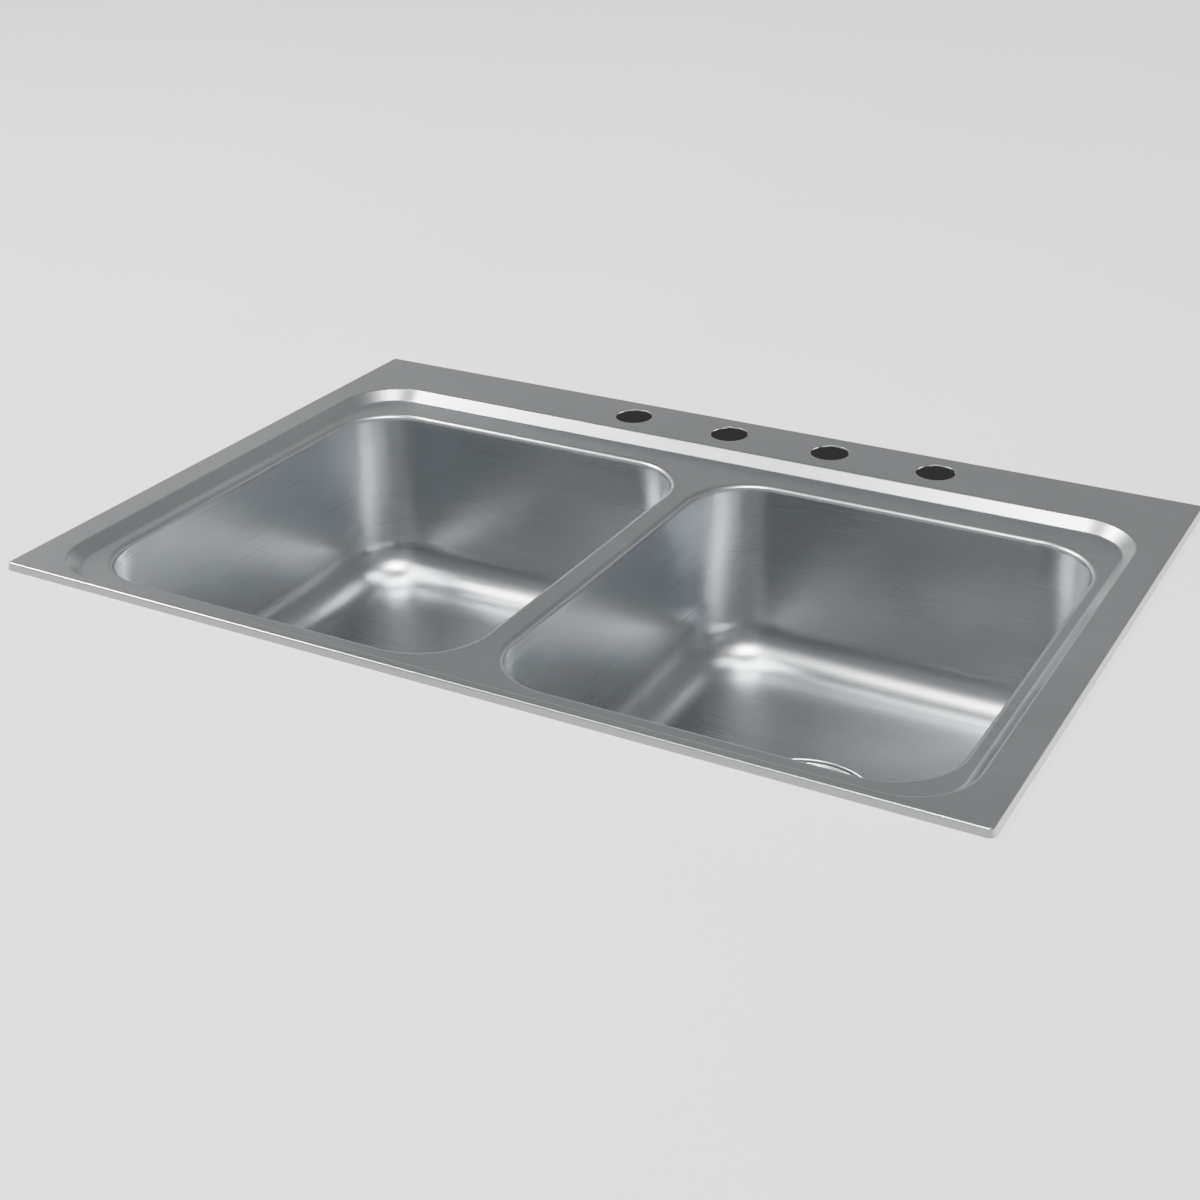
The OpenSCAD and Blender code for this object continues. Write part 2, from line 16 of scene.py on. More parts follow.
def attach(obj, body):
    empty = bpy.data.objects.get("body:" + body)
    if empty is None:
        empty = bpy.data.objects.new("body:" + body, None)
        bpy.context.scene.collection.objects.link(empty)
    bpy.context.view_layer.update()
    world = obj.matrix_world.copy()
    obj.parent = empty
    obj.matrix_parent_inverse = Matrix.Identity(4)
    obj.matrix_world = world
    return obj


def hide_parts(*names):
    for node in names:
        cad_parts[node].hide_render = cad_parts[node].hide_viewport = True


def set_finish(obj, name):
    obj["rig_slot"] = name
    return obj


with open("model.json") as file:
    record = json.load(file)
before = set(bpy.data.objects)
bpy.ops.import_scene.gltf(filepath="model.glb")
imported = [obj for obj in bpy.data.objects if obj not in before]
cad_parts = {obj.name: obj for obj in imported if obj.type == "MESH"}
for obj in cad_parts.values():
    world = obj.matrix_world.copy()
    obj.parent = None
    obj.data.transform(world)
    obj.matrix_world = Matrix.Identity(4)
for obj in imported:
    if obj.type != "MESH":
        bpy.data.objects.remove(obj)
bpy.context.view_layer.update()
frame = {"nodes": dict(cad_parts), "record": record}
nodes = frame["nodes"]
MM = 0.001

# %% [markdown]
# ## The camera
# The drawing shows the sink from the front and a little from the left, from about 27 degrees above the
# worktop. The place and the lens were worked out from the corners of the rim, whose real size is known.
# The camera is turned very slightly, because the drawing's lines lean by one degree.

# %% Camera
def look_from(azimuth, elevation, distance, target, roll, lens):
    """A camera that looks at a target, with angles in degrees and places in metres."""
    a, e = math.radians(azimuth), math.radians(elevation)
    back = Vector((math.sin(a) * math.cos(e), -math.cos(a) * math.cos(e), math.sin(e)))
    data = bpy.data.cameras.new("camera")
    data.lens = lens
    data.sensor_width = 36
    camera = bpy.data.objects.new("camera", data)
    bpy.context.scene.collection.objects.link(camera)
    camera.location = Vector(target) + back * distance
    camera.rotation_mode = "QUATERNION"
    camera.rotation_quaternion = (-back).to_track_quat("-Z", "Y")
    camera.rotation_quaternion.rotate(Quaternion(back, math.radians(roll)))
    return camera


bpy.context.scene.camera = look_from(
    azimuth=29.545,
    elevation=26.888,
    distance=1.45472,
    target=(0.041225, -0.103876, 0),
    roll=-0.979,
    lens=55.75,
)
print("camera at", [round(v, 3) for v in bpy.context.scene.camera.location])

# %% [markdown]
# ## Small helpers
# An operator works on everything that is selected, and the CAD nodes are still selected after loading. So
# each helper first lets go of everything. Faces and edges are then chosen by their place or direction, which
# is what a hand would do with a box or a loop selection.

# %% Helpers for selecting and shaping
def let_go():
    if bpy.context.object and bpy.context.object.mode != "OBJECT":
        bpy.ops.object.mode_set(mode="OBJECT")
    bpy.ops.object.select_all(action="DESELECT")


def take(piece):
    let_go()
    bpy.context.view_layer.objects.active = piece
    piece.select_set(True)


def edit(piece, kind="EDGE"):
    """Opens a piece in edit mode with nothing selected."""
    take(piece)
    bpy.ops.object.mode_set(mode="EDIT")
    bpy.ops.mesh.select_mode(type=kind)
    bpy.ops.mesh.select_all(action="DESELECT")


def pick(piece, kind, test):
    """Selects the vertices, edges or faces that pass a test, in edit mode, and says how many they are."""
    if piece.mode != "EDIT":
        edit(piece, kind)
    bpy.ops.mesh.select_mode(type=kind)
    bpy.ops.mesh.select_all(action="DESELECT")
    mesh = bmesh.from_edit_mesh(piece.data)
    chosen = [x for x in {"VERT": mesh.verts, "EDGE": mesh.edges, "FACE": mesh.faces}[kind] if test(x)]
    for x in chosen:
        x.select_set(True)
    mesh.select_flush_mode()
    bmesh.update_edit_mesh(piece.data)
    return len(chosen)


def select_all():
    bpy.ops.mesh.select_all(action="SELECT")


def outward():
    """Makes all faces of the open mesh look outwards."""
    select_all()
    bpy.ops.mesh.normals_make_consistent(inside=False)


def move(x=0, y=0, z=0):
    """Moves what is selected, in millimetres."""
    bpy.ops.transform.translate(value=(x * MM, y * MM, z * MM))


def pull(x=0, y=0, z=0):
    """Extrudes what is selected, in millimetres."""
    bpy.ops.mesh.extrude_region_move(TRANSFORM_OT_translate={"value": (x * MM, y * MM, z * MM)})


def settle():
    """Writes the place, turn and size of the new object into its mesh."""
    bpy.ops.object.transform_apply(location=True, rotation=True, scale=True)


def modify(piece, kind, **settings):
    """Adds a modifier with its settings and applies it."""
    take(piece)
    bpy.ops.object.modifier_add(type=kind)
    modifier = piece.modifiers[-1]
    for key, value in settings.items():
        setattr(modifier, key, value)
    bpy.ops.object.modifier_apply(modifier=modifier.name)


def join(name, *parts):
    """Joins pieces into the first one and gives it a name."""
    let_go()
    for part in parts:
        part.select_set(True)
    bpy.context.view_layer.objects.active = parts[0]
    bpy.ops.object.join()
    parts[0].name = parts[0].data.name = name
    return parts[0]


print("helpers ready for", len(nodes), "nodes")

# %% [markdown]
# ## Folded sheet
# A pressed sink is one sheet with bends in it. By hand, the easy way is to fold first and round later: draw
# the flat outline, inset it to each fold, drop the part inside, and then bevel the sharp folds by the bend
# radius. The bevel keeps the flats flat, so light runs over them evenly and turns only in the bends.

# %% A rounded outline, a disc, an inset fold and a bend
CORNER_STEPS = 16
SHARP = math.radians(15)


def rounded_outline(name, width, depth, corner, place, side_cuts=0):
    """A flat plate with round corners. Sizes are in millimetres."""
    let_go()
    bpy.ops.mesh.primitive_plane_add(size=1, location=[v * MM for v in place])
    plate = bpy.context.object
    plate.name = name
    plate.scale = (width * MM, depth * MM, 1)
    settle()
    edit(plate, "VERT")
    select_all()
    bpy.ops.mesh.bevel(
        offset=corner * MM, affect="VERTICES", segments=CORNER_STEPS, profile=0.5, clamp_overlap=False
    )
    if side_cuts:
        # Only the four sides are longer than this, so only they are cut
        long_side = (min(width, depth) - 2 * corner) * MM * 0.9
        pick(plate, "EDGE", lambda e: e.calc_length() > long_side)
        bpy.ops.mesh.subdivide(number_cuts=side_cuts)
    plate.update_from_editmode()
    bpy.ops.mesh.select_mode(type="FACE")
    select_all()
    return plate


def disc(corners, radius, place):
    """A flat disc, open in edit mode with its face selected. Sizes are in millimetres."""
    let_go()
    bpy.ops.mesh.primitive_circle_add(
        vertices=corners, radius=radius * MM, fill_type="NGON", location=[v * MM for v in place]
    )
    made = bpy.context.object
    settle()
    edit(made, "FACE")
    select_all()
    return made


def fold_in(thickness, depth=0.0):
    """Insets the selected face and lifts or drops it, both in millimetres."""
    if thickness:
        bpy.ops.mesh.inset(thickness=thickness * MM, depth=depth * MM, use_even_offset=True)
    else:
        pull(z=depth)


def bend_sharp_folds(piece, radius, turn, steps):
    """Rounds the sharp folds, which turn by so many degrees, with a bend of this radius."""
    edit(piece, "EDGE")
    bpy.ops.mesh.edges_select_sharp(sharpness=SHARP)
    offset = radius * math.tan(math.radians(turn) / 2) * MM
    bpy.ops.mesh.bevel(offset=offset, segments=steps, profile=0.5, affect="EDGES", clamp_overlap=False)


# %% [markdown]
# ## The deck
# The real deck is pressed in one stroke from 1.2 mm sheet: a rim that leans out to the worktop, a flat
# border, a step down to a ledge, and a lip round each bowl. Each of these forms is a strip with round
# corners, so each is folded as its own outline. The flats between the strips are filled afterwards.

# %% Strips of the deck
SHEET = 1.2
DECK_TOP, LEDGE_TOP, WELD = 6.0, -3.5, -11.5
SIDES = {"left": -1, "right": 1}
# Width, depth and corner radius of each outline, and where its middle lies
RIM, RIM_CORNER = (838.2, 558.8), 6
RECESS, RECESS_CORNER, RECESS_Y = (780.2, 477.3), 52, -30.25
BOWL, BOWL_CORNER, BOWL_X, BOWL_Y = (355.6, 406.4), 57, 190.5, -38.1
TAP_HOLE = 17.5
TAP_HOLES = [(-114.3 + 101.6 * k, 242.9) for k in range(4)]


def outline_beyond(name, size, corner, margin, place):
    """A rounded outline that lies a margin beyond another one."""
    return rounded_outline(name, size[0] + 2 * margin, size[1] + 2 * margin, corner + margin, place)


def rim_strip():
    lean, crest = 2.2, 1.9
    strip = rounded_outline("rim", *RIM, RIM_CORNER, (0, 0, 0))
    fold_in(lean, DECK_TOP)
    fold_in(crest)
    bpy.ops.mesh.delete(type="ONLY_FACE")
    bend_sharp_folds(strip, radius=1.6, turn=69.9, steps=6)
    return strip


def step_strip():
    margin, slope = 2.0, 10
    strip = outline_beyond("step", RECESS, RECESS_CORNER, margin, (0, RECESS_Y, DECK_TOP))
    fold_in(margin)
    fold_in(slope, LEDGE_TOP - DECK_TOP)
    fold_in(margin)
    bpy.ops.mesh.delete(type="ONLY_FACE")
    bend_sharp_folds(strip, radius=3, turn=43.5, steps=8)
    return strip


def lip_strip(side):
    margin = 5.8
    strip = outline_beyond("lip", BOWL, BOWL_CORNER, margin, (side * BOWL_X, BOWL_Y, LEDGE_TOP))
    fold_in(margin)
    fold_in(0, WELD - LEDGE_TOP)
    bpy.ops.mesh.delete(type="ONLY_FACE")
    bend_sharp_folds(strip, radius=5, turn=90, steps=10)
    return strip


def tap_ring(x, y):
    width = 2
    ring = disc(64, TAP_HOLE + width, (x, y, DECK_TOP))
    fold_in(width)
    bpy.ops.mesh.delete(type="ONLY_FACE")
    return ring


strips = [rim_strip(), step_strip()]
strips += [lip_strip(side) for side in SIDES.values()]
strips += [tap_ring(x, y) for x, y in TAP_HOLES]
for strip in strips:
    let_go()
    print(strip.name, "has", len(strip.data.polygons), "faces")
deck = join("deck_skin", *strips)

# %% [markdown]
# ## Filling the flats and giving the sheet its thickness
# Fill closes the flat between several loops at once, here the border round the four tap holes, and then the
# ledge round both bowls. Solidify then thickens the skin downwards, so the faces that we see stay in place.

# %% Fill and thicken the deck
def at_height(edge, height):
    return edge.is_boundary and all(abs(v.co.z - height * MM) < 1e-6 for v in edge.verts)


def from_hole(place, x, y):
    """How far a point lies from the axis of a tap hole."""
    return (place - Vector((x * MM, y * MM, place.z))).length


def in_tap_hole(edge):
    middle = (edge.verts[0].co + edge.verts[1].co) / 2
    return any(from_hole(middle, *hole) < (TAP_HOLE + 1) * MM for hole in TAP_HOLES)


border = pick(deck, "EDGE", lambda e: at_height(e, DECK_TOP) and not in_tap_hole(e))
bpy.ops.mesh.fill(use_beauty=True)
ledge = pick(deck, "EDGE", lambda e: at_height(e, LEDGE_TOP))
bpy.ops.mesh.fill(use_beauty=True)
print("filled between", border, "edges round the border and", ledge, "edges round the ledge")


def face_up(skin):
    """Turns a skin's faces so that the largest flat one looks up."""
    edit(skin, "FACE")
    outward()
    bpy.ops.object.mode_set(mode="OBJECT")
    flats = [p for p in skin.data.polygons if abs(p.normal.z) > 0.99]
    if max(flats, key=lambda p: p.area).normal.z < 0:
        edit(skin, "FACE")
        select_all()
        bpy.ops.mesh.flip_normals()
    let_go()


def thicken(skin, thickness=SHEET):
    face_up(skin)
    modify(skin, "SOLIDIFY", thickness=thickness * MM, offset=-1, use_even_offset=True)


def smooth(piece, angle=35):
    take(piece)
    bpy.ops.object.shade_smooth_by_angle(angle=math.radians(angle))
    modify(piece, "WEIGHTED_NORMAL", keep_sharp=True, weight=80)


thicken(deck)


def at_hole_edge(edge):
    def on_top(v, hole):
        return abs(v.co.z - DECK_TOP * MM) < 1e-6 and abs(from_hole(v.co, *hole) - TAP_HOLE * MM) < 0.1 * MM

    return all(any(on_top(v, hole) for hole in TAP_HOLES) for v in edge.verts)


def in_foot(v):
    """The low points near the outline. Only the foot of the rim reaches so far out."""
    return v.co.z < 0 and (abs(v.co.x) > 410 * MM or abs(v.co.y) > 270 * MM)


# A punch draws the edge of its hole down a little, so the tap holes get a small round on top
print("hole edges:", pick(deck, "EDGE", at_hole_edge))
bpy.ops.mesh.bevel(offset=0.35 * MM, segments=3, affect="EDGES", clamp_overlap=False)
# The foot of the rim is cut level, so that it stands flat on the worktop
print("foot:", pick(deck, "VERT", in_foot), "points")
bpy.ops.transform.resize(value=(1, 1, 0), center_override=(0, 0, 0))
smooth(deck)
print("deck:", len(deck.data.polygons), "faces")
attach(deck, "root")
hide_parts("deck")
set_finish(deck, "satin_steel")

# %% [markdown]
# ## The bowls
# Each bowl is deep drawn: the walls lean in by a few millimetres so that it comes off the punch, and a large
# radius leads to the floor, which falls to the drain. The outline is folded down twice and the lower fold is
# rounded by 38 mm. A sunk seat for the strainer is folded from a circle with as many corners as the floor's
# edge has, so that a bridge can join the two with one smooth, slightly dished surface.

# %% Bowl skin
FLOOR, FLAT, SEAT = -172.0, -176.0, -179.5
SIDE_CUTS = 19


def drain_seat_strip(corners):
    edge, border, slope, flat_ring = 66, 5.5, 2, 14
    seat = disc(corners, edge, (0, 0, FLAT))
    fold_in(border)
    fold_in(slope, SEAT - FLAT)
    fold_in(flat_ring)
    bpy.ops.mesh.delete(type="FACE")
    bend_sharp_folds(seat, radius=2, turn=60, steps=4)
    return seat


def bowl_piece(name, side):
    straight, lean = 5, 4
    walls = rounded_outline(name, *BOWL, BOWL_CORNER, (0, 0, WELD), side_cuts=SIDE_CUTS)
    corners = len(walls.data.vertices)
    fold_in(0, -straight)
    # Extruding a lone face leaves the first one behind, as a lid
    pick(walls, "FACE", lambda f: len(f.verts) == corners and f.calc_center_median().z > (WELD - 1) * MM)
    bpy.ops.mesh.delete(type="ONLY_FACE")
    pick(walls, "FACE", lambda f: len(f.verts) == corners)
    fold_in(lean, FLOOR - WELD + straight)
    bend_sharp_folds(walls, radius=38, turn=88.5, steps=14)
    pick(walls, "FACE", lambda f: len(f.verts) == corners)
    bpy.ops.mesh.delete(type="ONLY_FACE")
    bowl = join(name, walls, drain_seat_strip(corners))
    pick(bowl, "EDGE", lambda e: at_height(e, FLOOR) or at_height(e, FLAT))
    bpy.ops.mesh.bridge_edge_loops(number_cuts=9, interpolation="LINEAR")
    select_all()
    move(side * BOWL_X, BOWL_Y)
    return bowl


for word, side in SIDES.items():
    bowl = bowl_piece(f"{word}_bowl_skin", side)
    thicken(bowl)
    smooth(bowl)
    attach(bowl, "root")
    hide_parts(f"{word}_bowl")
    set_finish(bowl, "satin_steel")
    print(bowl.name, "has", len(bowl.data.polygons), "faces")

# %% [markdown]
# ## The pads under the bowls
# A rubber pad on the underside of each bowl deadens the drumming of falling water. It is stamped from sheet,
# with a round hole that keeps clear of the drain, and it bends to the floor that it is stuck to. So it is
# made as the floor was, by a bridge between an outline and a circle, and the stamped edges are softened.

# %% Pads
PAD, PAD_CORNER, PAD_HOLE = (225.16, 268.34), 9, 68
PAD_HIGH, PAD_LOW, PAD_SHEET = -173.8, -177.2, 3.0


def pad_piece(name, side):
    pad = rounded_outline(name, *PAD, PAD_CORNER, (0, 0, PAD_HIGH), side_cuts=SIDE_CUTS)
    bpy.ops.mesh.delete(type="ONLY_FACE")
    hole = disc(len(pad.data.vertices), PAD_HOLE, (0, 0, PAD_LOW))
    bpy.ops.mesh.delete(type="ONLY_FACE")
    pad = join(name, pad, hole)
    pick(pad, "EDGE", lambda e: True)
    bpy.ops.mesh.bridge_edge_loops(number_cuts=5, interpolation="LINEAR")
    select_all()
    move(side * BOWL_X, BOWL_Y)
    thicken(pad, PAD_SHEET)
    modify(pad, "BEVEL", width=0.8 * MM, segments=3, limit_method="ANGLE", angle_limit=math.radians(60))
    smooth(pad)
    return pad


for word, side in SIDES.items():
    pad = pad_piece(f"{word}_soft_pad", side)
    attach(pad, "root")
    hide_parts(f"{word}_pad")
    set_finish(pad, "pad_rubber")
    print(pad.name, "has", len(pad.data.polygons), "faces")

# %% [markdown]
# ## Colours and nodes
# Colours are written as sRGB hex values, as a colour picker shows them. Blender's shaders want linear light,
# so one function turns them. Another adds a node with its settings and links. Most patterns here are a noise
# that a colour ramp turns into a narrow range of colour or roughness.

# %% Colour and node helpers
def hex_colour(code):
    parts = [int(code[i : i + 2], 16) / 255 for i in (1, 3, 5)]
    return tuple(c / 12.92 if c <= 0.04045 else ((c + 0.055) / 1.055) ** 2.4 for c in parts) + (1.0,)


def feed(tree, target, inputs):
    """Sets a node's inputs, or links them to a socket or to another node's first output."""
    for key, value in inputs.items():
        if isinstance(value, bpy.types.Node):
            value = value.outputs[0]
        if isinstance(value, bpy.types.NodeSocket):
            tree.links.new(value, target.inputs[key])
        else:
            target.inputs[key].default_value = value


def node(tree, kind, inputs, stops=(), **settings):
    """Adds a node, sets its properties and feeds its inputs. Stops are a ramp's places and colours."""
    made = tree.nodes.new("ShaderNode" + kind)
    for key, value in settings.items():
        setattr(made, key, value)
    for i, (place, colour) in enumerate(stops):
        points = made.color_ramp.elements
        point = points[i] if i < len(points) else points.new(place)
        point.position = place
        point.color = colour if isinstance(colour, tuple) else (colour, colour, colour, 1)
    feed(tree, made, inputs)
    return made


def finish_material(name, inputs, build):
    """A material with one Principled shader. build makes the nodes that feed its other inputs."""
    material = bpy.data.materials.new(name)
    material.use_nodes = True
    tree = material.node_tree
    shader = next(n for n in tree.nodes if n.type == "BSDF_PRINCIPLED")
    place = node(tree, "TexCoord", {})
    feed(tree, shader, {**inputs, **build(tree, place)})
    return material


print("steel grey in linear light:", [round(c, 3) for c in hex_colour("#c4c7c9")])


# %% [markdown]
# ## Satin stainless steel
# The sheet is stainless steel, grade 304, rubbed with fine grit belts after pressing. That leaves hair-thin
# parallel scratches, which spread a highlight across themselves and keep it tight along themselves. On the
# deck and the floors they run left to right, and on the walls they run level round the bowl, also round its
# corners. Real scratches are 0.05 mm wide, far finer than a pixel here, so they are drawn 0.4 mm wide.

# %% Satin steel
STREAK, STREAK_LENGTH = 0.4, 140


def brushed(tree, place, across, width, length):
    """Streaks: noise that changes quickly along one axis and slowly along the others, in millimetres."""
    scale = [1 / (length * MM)] * 3
    scale["XYZ".index(across)] = 1 / (width * MM)
    lines = node(tree, "Mapping", {"Vector": place.outputs["Object"], "Scale": scale})
    return node(tree, "TexNoise", {"Vector": lines, "Scale": 1.0, "Detail": 1.0, "Roughness": 0.5})


def satin(tree, place):
    facing = node(tree, "SeparateXYZ", {"Vector": place.outputs["Normal"]})
    level = node(tree, "Math", {0: facing.outputs["Z"]}, operation="ABSOLUTE")
    on_walls = brushed(tree, place, "Z", STREAK, STREAK_LENGTH)
    on_flats = brushed(tree, place, "Y", STREAK, STREAK_LENGTH)
    streaks = node(tree, "Mix", {"Factor": level, "A": on_walls, "B": on_flats}, data_type="FLOAT")
    # Where hands and cloths have been, the streaks are a little less even, in clouds of a hand's breadth
    cloud = node(tree, "TexNoise", {"Vector": place.outputs["Object"], "Scale": 9.0, "Detail": 2.0})
    worn = node(tree, "Math", {0: streaks, 1: 0.7}, operation="MULTIPLY")
    mixed = node(tree, "Math", {0: cloud, 1: 0.3, 2: worn}, operation="MULTIPLY_ADD")
    tones = [(0.25, hex_colour("#c4c7c9")), (0.75, hex_colour("#cfd1d3"))]
    return {
        "Base Color": node(tree, "ValToRGB", {"Fac": mixed}, tones),
        "Roughness": node(tree, "ValToRGB", {"Fac": mixed}, [(0.25, 0.26), (0.75, 0.33)]),
        "Normal": node(tree, "Bump", {"Height": streaks, "Strength": 0.04, "Distance": 0.05 * MM}),
    }


steel = finish_material("satin_stainless_steel", {"Metallic": 1.0, "Anisotropic": 0.4}, satin)
finishes = {"satin_steel": steel}
print("made", steel.name)

# %% [markdown]
# ## Turning on a lathe
# The drain's parts are round, as turned on a lathe or drawn over a round punch. By hand we draw half of the
# section, corner by corner, by extruding one vertex. A vertex bevel softens the corners, because no real edge
# is sharp, and Spin turns the section round the Z axis. We model each part once, at the origin, and put a
# copy under each bowl.

# %% Drawing and turning a section
def drawn(name, corners):
    """Draws a closed section in the XZ plane. A corner is (x, z) or (x, z, softness), in millimetres."""
    let_go()
    bpy.ops.mesh.primitive_plane_add(size=MM)
    section = bpy.context.object
    section.name = name
    edit(section, "VERT")
    select_all()
    bpy.ops.mesh.merge(type="CENTER")
    x, z = 0, 0
    for i, corner in enumerate(corners):
        draw = pull if i else move
        draw(corner[0] - x, 0, corner[1] - z)
        x, z = corner[:2]
    select_all()
    bpy.ops.mesh.edge_face_add()
    for softness in sorted({c[2] for c in corners if len(c) > 2}):
        soft = [Vector((c[0], 0, c[1])) * MM for c in corners if c[2:] == (softness,)]
        pick(section, "VERT", lambda v: any((v.co - s).length < 0.01 * MM for s in soft))
        bpy.ops.mesh.bevel(
            offset=softness * MM, affect="VERTICES", segments=4, profile=0.5, clamp_overlap=True
        )
    select_all()
    return section


def turned(name, corners, steps=96):
    """Turns a section all round the Z axis."""
    piece = drawn(name, corners)
    bpy.ops.mesh.delete(type="ONLY_FACE")
    select_all()
    bpy.ops.mesh.spin(steps=steps, angle=math.tau, center=(0, 0, 0), axis=(0, 0, 1), use_auto_merge=True)
    select_all()
    bpy.ops.mesh.remove_doubles(threshold=0.001 * MM)
    outward()
    let_go()
    return piece


def bar(name, corners, length):
    """Pulls a section out along the Y axis, half of the length to each side."""
    piece = drawn(name, corners)
    move(y=-length / 2)
    pull(y=length)
    return piece


def block(name, low, high, soft):
    """A block between two corners, with soft edges: an arm, a lug or a rib of something bigger."""
    let_go()
    bpy.ops.mesh.primitive_cube_add(size=1, location=[(a + b) / 2 * MM for a, b in zip(low, high)])
    piece = bpy.context.object
    piece.name = name
    piece.scale = [(b - a) * MM for a, b in zip(low, high)]
    settle()
    modify(piece, "BEVEL", width=soft * MM, segments=2)
    return piece


def copy_to(piece, name, x=0, y=0, z=0, turn=0):
    """A copy with its own mesh, moved in millimetres and turned in degrees about the Z axis."""
    take(piece)
    bpy.ops.object.duplicate()
    copy = bpy.context.object
    copy.name = copy.data.name = name
    copy.location = Vector((x, y, z)) * MM
    copy.rotation_euler.z = math.radians(turn)
    settle()
    return copy


def all_round(piece, count):
    """Copies of a piece all round the Z axis."""
    return [piece] + [copy_to(piece, piece.name, turn=360 * k / count) for k in range(1, count)]


print("sections can be drawn, turned, pulled out and copied")

# %% [markdown]
# ## Screw threads
# The strainers and the studs are threaded. The Screw modifier lifts a section while it turns, which is just
# what a thread is. One ridge is drawn, its foot a little inside the core, and its two ends are closed.

# %% A thread
def thread(name, core, crest, pitch, low, high, steps):
    """A ridge that climbs by its pitch in each turn. Sizes are in millimetres."""
    foot = core - 0.15
    ridge = drawn(name, [(foot, 0), (crest, 0.38 * pitch), (crest, 0.5 * pitch), (foot, 0.88 * pitch)])
    bpy.ops.mesh.delete(type="ONLY_FACE")
    select_all()
    move(z=low)
    turns = int((high - low) / pitch) - 1
    modify(ridge, "SCREW", screw_offset=pitch * MM, iterations=turns, steps=steps, render_steps=steps)
    edit(ridge, "FACE")
    select_all()
    bpy.ops.mesh.fill_holes(sides=0)
    outward()
    let_go()
    print(name, "makes", turns, "turns")
    return ridge


# %% [markdown]
# ## The strainer's body
# A basket strainer is spun from thin stainless sheet: a domed flange that lies in the bowl's seat, a deep
# cup, and a sloping bottom with a short outlet. Threads are rolled into the cup and the outlet. A cross at
# the outlet has a boss that takes the tip of the basket's post. The sections follow the CAD model's sizes.

# %% Strainer body
THROAT, OUTLET_END = -227.5, -244.5


def strainer_body():
    shell = turned(
        "cup",
        [
            (57, -179.45, 0.4), (57, -178.6, 0.5), (52.5, -177.5, 2), (42, -177.5, 2), (42, -219.5, 2),
            (19.5, THROAT, 2), (19.5, OUTLET_END, 0.4), (20.9, OUTLET_END, 0.3), (20.9, THROAT - 1.5, 2),
            (43.4, -220.9, 3), (43.4, -179.5, 1),
        ],
        steps=128,
    )  # fmt: skip
    boss = turned(
        "boss", [(3.3, -233.5, 0.4), (5, -233.5, 0.5), (5, -230.5, 0.5), (3.3, -230.5, 0.4)], steps=32
    )
    arm = block("arm", (4.4, -1.5, -233.5), (20.2, 1.5, -230.5), 0.5)
    cup_thread = thread("cup_thread", core=43.4, crest=44, pitch=2.3, low=-218, high=-181, steps=96)
    outlet_thread = thread(
        "outlet_thread", core=20.9, crest=21.5, pitch=2.2, low=-243.5, high=-229.5, steps=64
    )
    return join("threaded_strainer", shell, boss, cup_thread, outlet_thread, *all_round(arm, 4))


def under_both(piece, body, slot, node_name=None):
    """Puts a copy of a drain part under each bowl, in place of the CAD node if there is one."""
    smooth(piece, 40)
    for word, side in SIDES.items():
        copy = copy_to(piece, f"{word}_{piece.name}", side * BOWL_X, BOWL_Y)
        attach(copy, body.format(word))
        if node_name:
            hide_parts(f"{word}_{node_name}")
        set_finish(copy, slot)
    print(piece.name, "has", len(piece.data.polygons), "faces")
    bpy.data.objects.remove(piece)


under_both(strainer_body(), "root", "strainer_steel", "strainer_body")

# %% [markdown]
# ## Gasket, friction ring and locknut
# Below the bowl a rubber gasket and a ring of fibre card lie on the sheet's underside, and a die-cast locknut
# with eight lugs pulls the flange down on its seat. Rubber and card are stamped, so their edges are nearly
# square. The casting has rounder edges, because molten zinc doesn't fill a sharp corner.

# %% Rings and locknut
BORE = 44.3


def ring(name, outside, low, high, inner_soft, outer_soft):
    """A flat ring round the cup. The softness of its inner and outer corners is in millimetres."""
    inside = [(BORE, z, inner_soft) for z in (low, high)]
    rim = [(outside, z, outer_soft) for z in (low, high)]
    return turned(name, [inside[0], *rim, inside[1]])


under_both(ring("gasket_ring", 57, -183.7, -180.7, 0.5, 0.8), "root", "black_rubber", "gasket")
under_both(ring("card_ring", 55, -184.7, -183.7, 0.15, 0.2), "root", "fibre", "friction_ring")


def locknut():
    body = turned("nut", [(BORE, -196.7, 0.8), (51.3, -196.7, 1.2), (51.3, -184.7, 0.8), (BORE, -184.7, 0.8)])
    lug = block("lug", (47.8, -3.5, -196.7), (54.8, 3.5, -190.7), 1.2)
    return join("cast_locknut", body, *all_round(lug, 8))


under_both(locknut(), "root", "cast_zinc", "locknut")

# %% [markdown]
# ## Tailpiece and coupling nut
# The tailpiece is a chrome plated brass tube with a flange. A slip nut with grip ribs pulls the flange and
# its rubber washer up to the outlet. The nut's web holds the flange from below, and the tube passes through.

# %% Tailpiece and coupling nut
tube = turned(
    "flanged_tailpiece",
    [
        (17.85, -339, 0.3), (19.05, -339, 0.5), (19.05, -249, 0.6), (23.55, -249, 0.5), (23.55, -247.5, 0.5),
        (17.85, -247.5, 0.5),
    ],
)  # fmt: skip
under_both(tube, "root", "chrome_plate", "tailpiece")


def coupling_nut():
    body = turned(
        "nut",
        [
            (20.05, -251.5, 0.5), (27.6, -251.5, 1.5), (27.6, -232.5, 1.5), (21.8, -232.5, 0.5),
            (21.8, -244.5), (23.85, -244.5), (23.85, -249), (20.05, -249, 0.3),
        ],
    )  # fmt: skip
    rib = block("rib", (26.35, -1.25, -250.9), (28.85, 1.25, -233.1), 0.8)
    return join("ribbed_slip_nut", body, *all_round(rib, 12))


under_both(coupling_nut(), "root", "cast_zinc", "coupling_nut")

# %% [markdown]
# ## The basket's rolled rim
# The CAD basket has the right form, with its rows of holes, and it stays. A thin sheet can't end in a bare
# cut edge where a hand lifts it out, so its rim is rolled over. The bead is a small ring laid on the rim.

